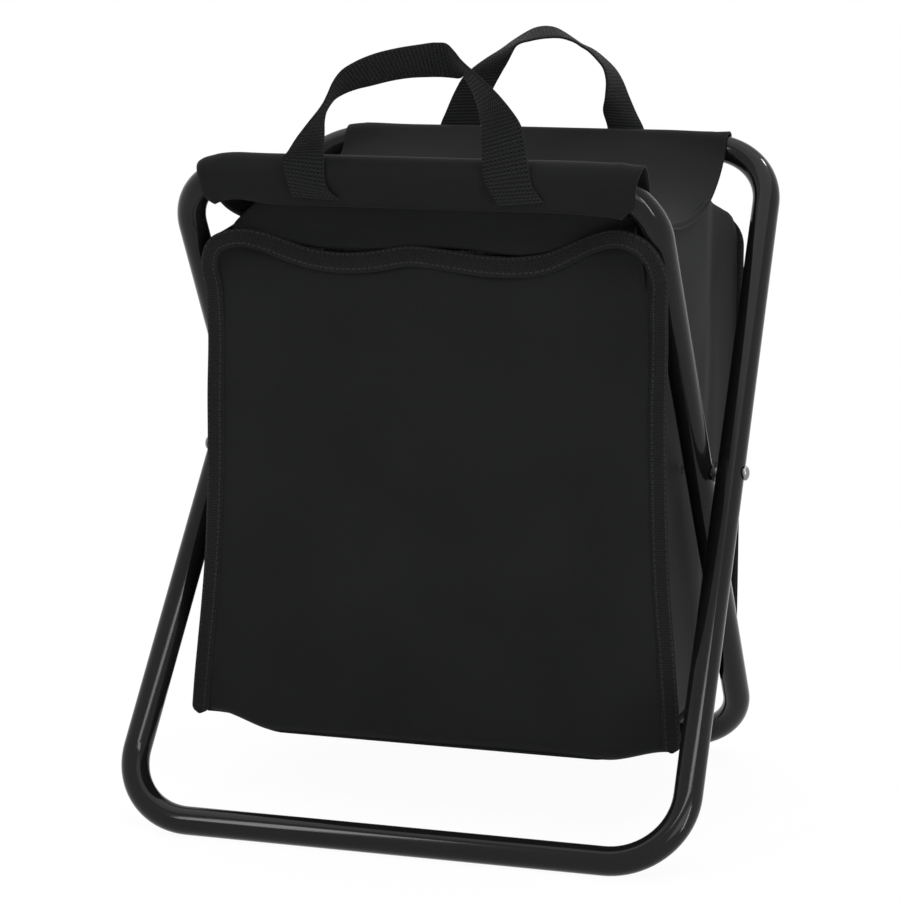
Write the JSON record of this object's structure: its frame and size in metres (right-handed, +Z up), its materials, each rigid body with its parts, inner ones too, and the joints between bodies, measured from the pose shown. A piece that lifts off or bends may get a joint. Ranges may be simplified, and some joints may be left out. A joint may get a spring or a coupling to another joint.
{
  "type": "folding cooler stool",
  "caption": "Folding stool of crossed bent-tube loops with a sling seat, webbing carry handles and an insulated zip-up cooler bag hung under the seat.",
  "frame": {"origin": "on the floor, under the middle of the stool's width and depth", "axes": "+Z up, -Y towards the front panel with the zip, +X to the right seen from the front"},
  "size_m": [0.3362, 0.2982, 0.4387],
  "materials": {
    "tube_paint": "glossy black powder coat",
    "rivet": "blackened steel",
    "spacer": "nylon",
    "seat_cloth": "coated polyester, satin",
    "bag_cloth": "coated polyester, satin",
    "webbing": "ribbed polypropylene webbing",
    "binding": "twill tape",
    "zip": "nylon coil",
    "zip_metal": "black enamel",
    "foam": "closed-cell foam sheet",
    "liner": "welded silver-grey film"
  },
  "bodies": {
    "outer_frame": {"outer_frame": "tube_paint", "rivet_left": "rivet", "rivet_right": "rivet", "spacer_left": "spacer", "spacer_right": "spacer", "rear_sleeve": "seat_cloth"},
    "inner_frame": {"inner_frame": "tube_paint", "front_sleeve": "seat_cloth", "seat_sling": "seat_cloth"},
    "cooler_bag": {"front_panel": "bag_cloth", "back_panel": "bag_cloth", "left_gusset": "bag_cloth", "right_gusset": "bag_cloth", "bottom_panel": "bag_cloth", "top_panel": "bag_cloth", "upper_front_panel": "bag_cloth", "front_binding": "binding", "rear_binding": "binding", "zip_upper_tape": "binding", "zip_lower_tape": "binding", "zip_coil": "zip", "foam_front": "foam", "foam_back": "foam", "foam_left": "foam", "foam_right": "foam", "foam_bottom": "foam", "foam_lid": "foam", "liner_tub": "liner", "liner_lid": "liner"},
    "zip_slider": {"zip_slider": "zip_metal"},
    "zip_pull": {"zip_pull": "zip_metal"},
    "front_handle": {"front_handle": "webbing"},
    "rear_handle": {"rear_handle": "webbing"}
  },
  "joints": [
    {"name": "fold", "type": "hinge", "parent": "outer_frame", "child": "inner_frame", "pos_m": [0, 0.00371, 0.196], "axis": [-1, 0, 0], "range_deg": [0, 66], "deforming": ["seat_sling", "front_panel", "back_panel", "left_gusset", "right_gusset", "bottom_panel", "top_panel", "upper_front_panel", "front_binding", "rear_binding", "zip_upper_tape", "zip_lower_tape", "zip_coil", "foam_front", "foam_back", "foam_left", "foam_right", "foam_bottom", "foam_lid", "liner_tub", "liner_lid", "front_handle", "rear_handle"]},
    {"name": "bag_follow", "type": "hinge", "parent": "outer_frame", "child": "cooler_bag", "pos_m": [0, -0.0253, 0.105], "axis": [-1, 0, 0], "range_deg": [0, 36]},
    {"name": "front_handle_bend", "type": "hinge", "parent": "inner_frame", "child": "front_handle", "pos_m": [0, -0.12063, 0.369], "axis": [-1, 0, 0], "range_deg": [-32, 0]},
    {"name": "rear_handle_bend", "type": "hinge", "parent": "outer_frame", "child": "rear_handle", "pos_m": [0, 0.14807, 0.369], "axis": [-1, 0, 0], "range_deg": [0, 36]},
    {"name": "zip_slide", "type": "slide", "parent": "cooler_bag", "child": "zip_slider", "axis": [1, 0, 0], "range_m": [0, 0.168]},
    {"name": "zip_pull_swing", "type": "hinge", "parent": "zip_slider", "child": "zip_pull", "pos_m": [-0.08381, -0.0788, 0.324], "axis": [0, 0, -1], "range_deg": [0, 170]}
  ],
  "couplings": [
    {"joint": "bag_follow", "follows": "fold", "ratio": 0.5333},
    {"joint": "front_handle_bend", "follows": "fold", "ratio": -0.47},
    {"joint": "rear_handle_bend", "follows": "fold", "ratio": 0.53}
  ]
}
